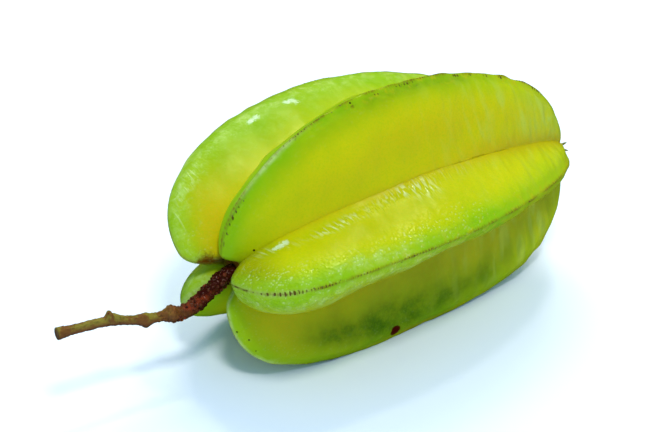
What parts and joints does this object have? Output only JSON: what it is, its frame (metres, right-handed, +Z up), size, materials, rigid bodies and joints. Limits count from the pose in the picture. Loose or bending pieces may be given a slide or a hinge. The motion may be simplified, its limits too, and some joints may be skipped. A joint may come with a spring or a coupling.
{
  "type": "star fruit",
  "caption": "Ripe star fruit with deep pointed ribs, waxy green and yellow skin and a short woody stem, lying on two of its ribs",
  "frame": {"origin": "on the surface the fruit lies on, under the middle of the whole object with its stem", "axes": "+X along the fruit from the stem end to the tip, +Z up, -Y towards the front rib"},
  "size_m": [0.1531, 0.0666, 0.0654],
  "materials": {
    "skin": "waxy, smooth, semi-gloss",
    "bark": "rough bark with small corky warts"
  },
  "bodies": {
    "root": {"fruit": "skin", "stem": "bark"}
  },
  "joints": []
}
